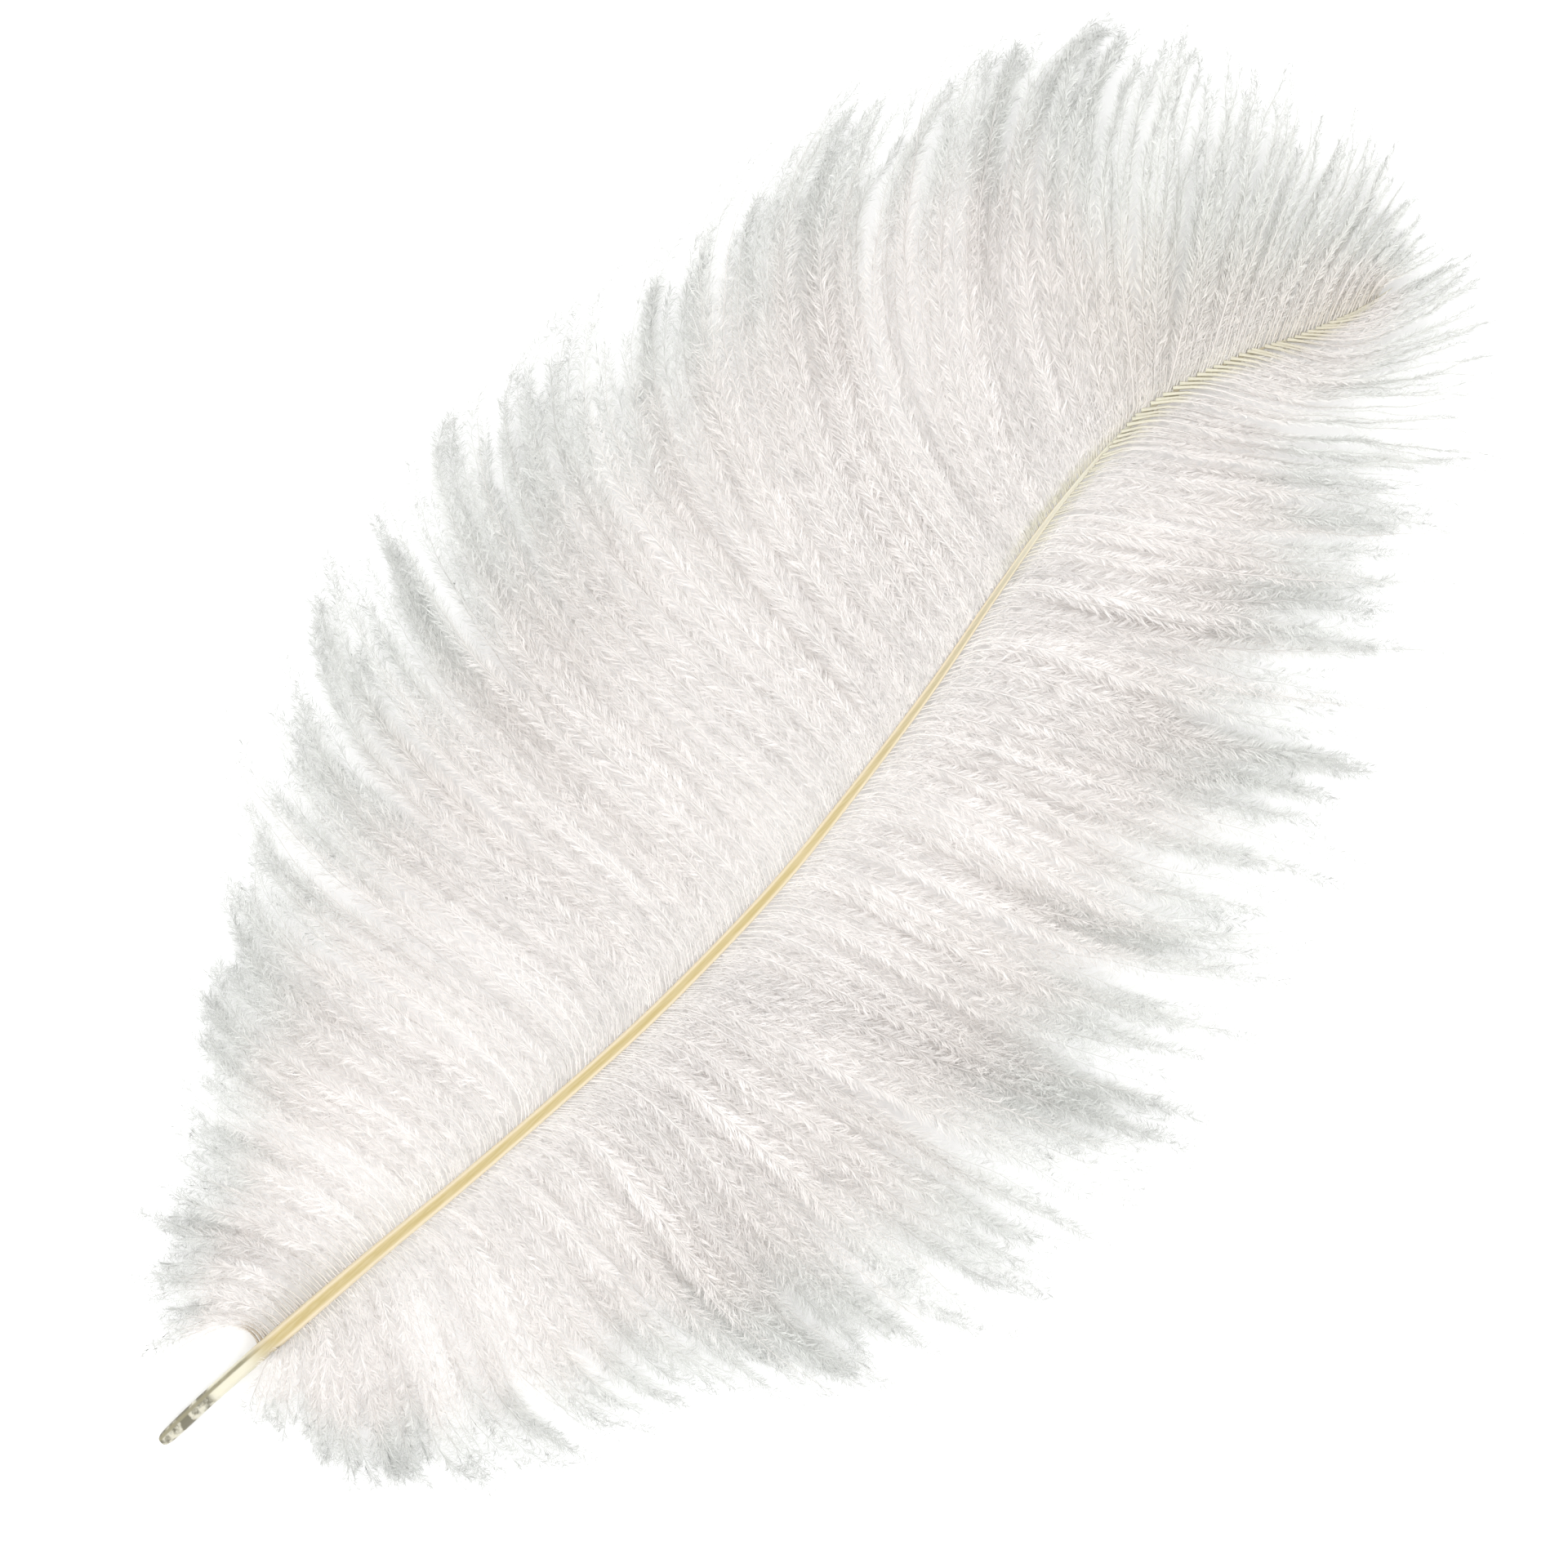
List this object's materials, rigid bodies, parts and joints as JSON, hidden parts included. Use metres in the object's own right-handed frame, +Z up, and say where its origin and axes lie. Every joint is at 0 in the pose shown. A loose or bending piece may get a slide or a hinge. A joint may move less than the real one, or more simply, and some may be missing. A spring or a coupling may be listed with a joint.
{
  "type": "ostrich feather",
  "caption": "Broad ostrich plume lying flat: a slender tapering horn shaft bent in a gentle S, with a soft vane of loose downy barbs along either side that droop to the surface.",
  "frame": {"origin": "on the surface that the plume lies on, under the middle of its outline", "axes": "+Y from the quill's end to the tip, +Z up from the surface, +X to the plume's right as seen from above"},
  "size_m": [0.2295, 0.4204, 0.0131],
  "materials": {
    "horn": "satin",
    "down": "matte"
  },
  "bodies": {
    "root": {"shaft": "horn", "left_vane": "down", "right_vane": "down"}
  },
  "joints": []
}
